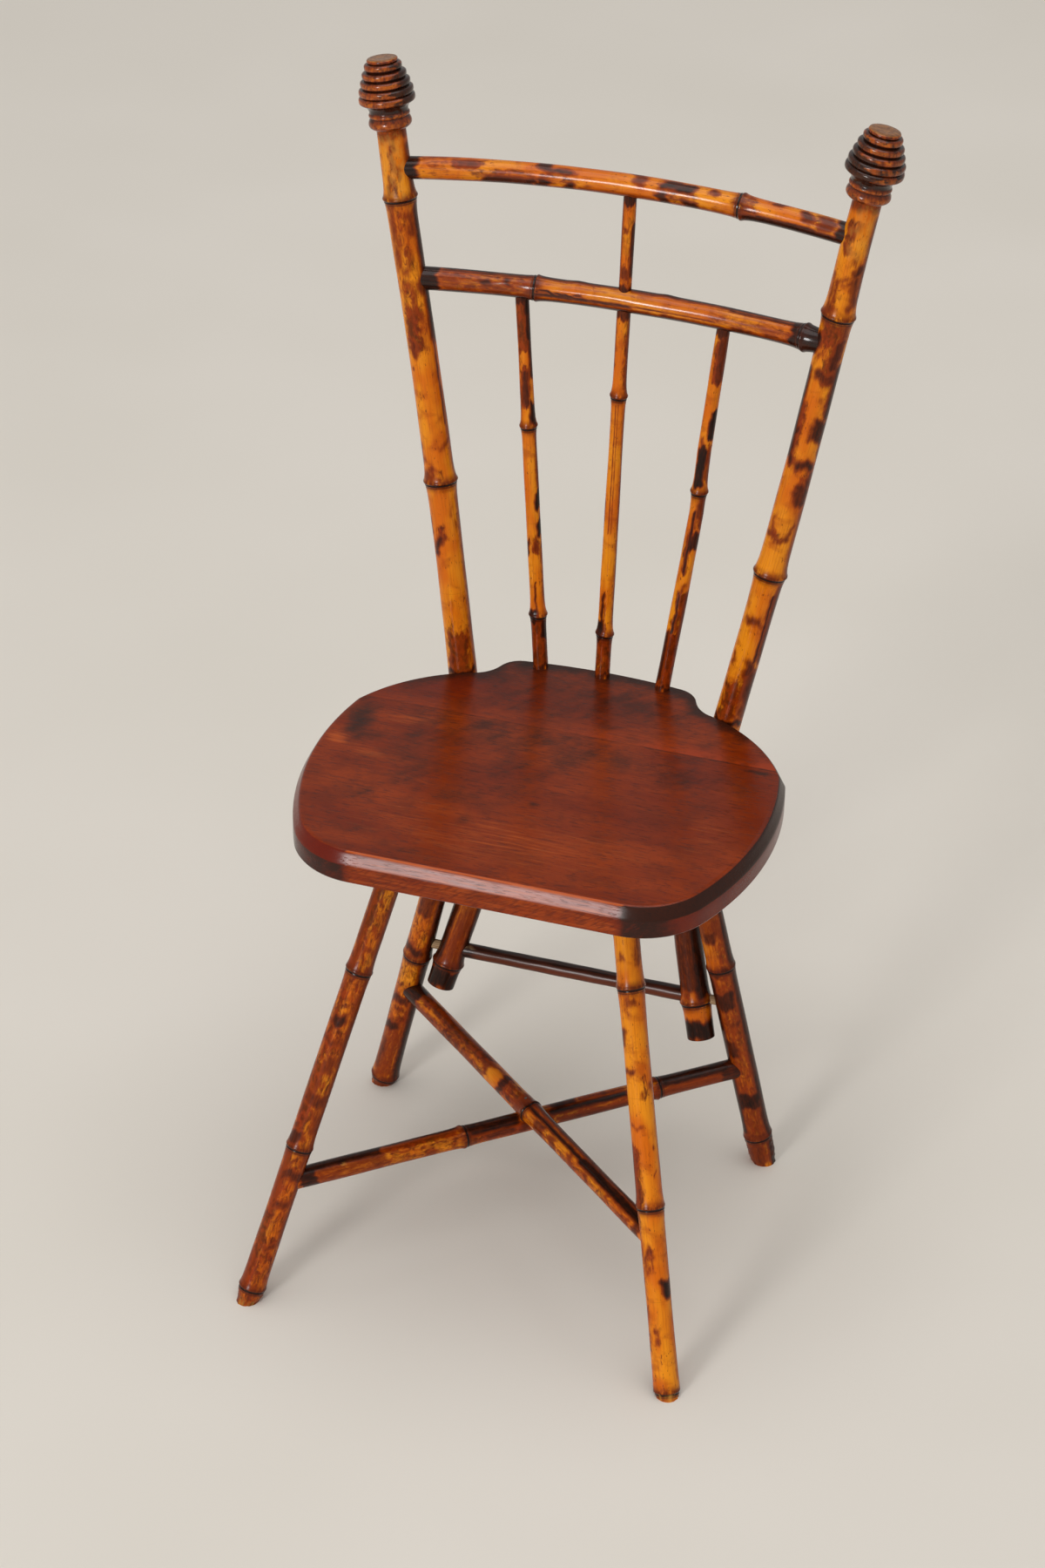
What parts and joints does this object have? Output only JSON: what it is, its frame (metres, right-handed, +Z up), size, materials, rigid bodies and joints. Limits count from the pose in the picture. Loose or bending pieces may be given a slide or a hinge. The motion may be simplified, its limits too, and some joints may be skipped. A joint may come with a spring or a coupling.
{
  "type": "bamboo side chair",
  "caption": "Bamboo side chair with a shaped wooden seat, splayed legs on crossed stretchers, and raked posts with turned finials, bowed rails and spindles.",
  "frame": {"origin": "centre of the chair's box, on the floor", "axes": "+Z up; -Y is the front, the way a sitter faces; +X is to the right of someone looking at the front"},
  "size_m": [0.447, 0.442, 0.9494],
  "materials": {
    "bamboo": "burnt bamboo, glossy varnish",
    "turned_wood": "turned, stained, glossy varnish",
    "dark_wood": "dark stained rod, varnished",
    "seat_wood": "red-brown stained boards, satin varnish",
    "hardwood": "bare hardwood, glued in",
    "steel": "plain steel, darkened"
  },
  "bodies": {
    "root": {"front_left_leg": "bamboo", "front_left_leg_plug": "hardwood", "front_left_stretcher_peg": "hardwood", "front_right_leg": "bamboo", "front_right_leg_plug": "hardwood", "front_right_stretcher_peg": "hardwood", "rear_left_leg": "bamboo", "rear_left_leg_plug": "hardwood", "rear_left_stretcher_peg": "hardwood", "rear_right_leg": "bamboo", "rear_right_leg_plug": "hardwood", "rear_right_stretcher_peg": "hardwood", "low_stretcher": "bamboo", "high_stretcher": "bamboo", "crest_rail": "bamboo", "mid_rail": "bamboo", "left_post": "bamboo", "left_finial": "turned_wood", "left_crest_dowel": "hardwood", "left_mid_dowel": "hardwood", "right_post": "bamboo", "right_finial": "turned_wood", "right_crest_dowel": "hardwood", "right_mid_dowel": "hardwood", "left_spindle": "bamboo", "centre_spindle": "bamboo", "right_spindle": "bamboo", "upper_spindle": "bamboo", "post_tie": "dark_wood", "post_screws": "steel", "crossing_pin": "steel", "seat_front_board": "seat_wood", "seat_rear_board": "seat_wood"}
  },
  "joints": []
}
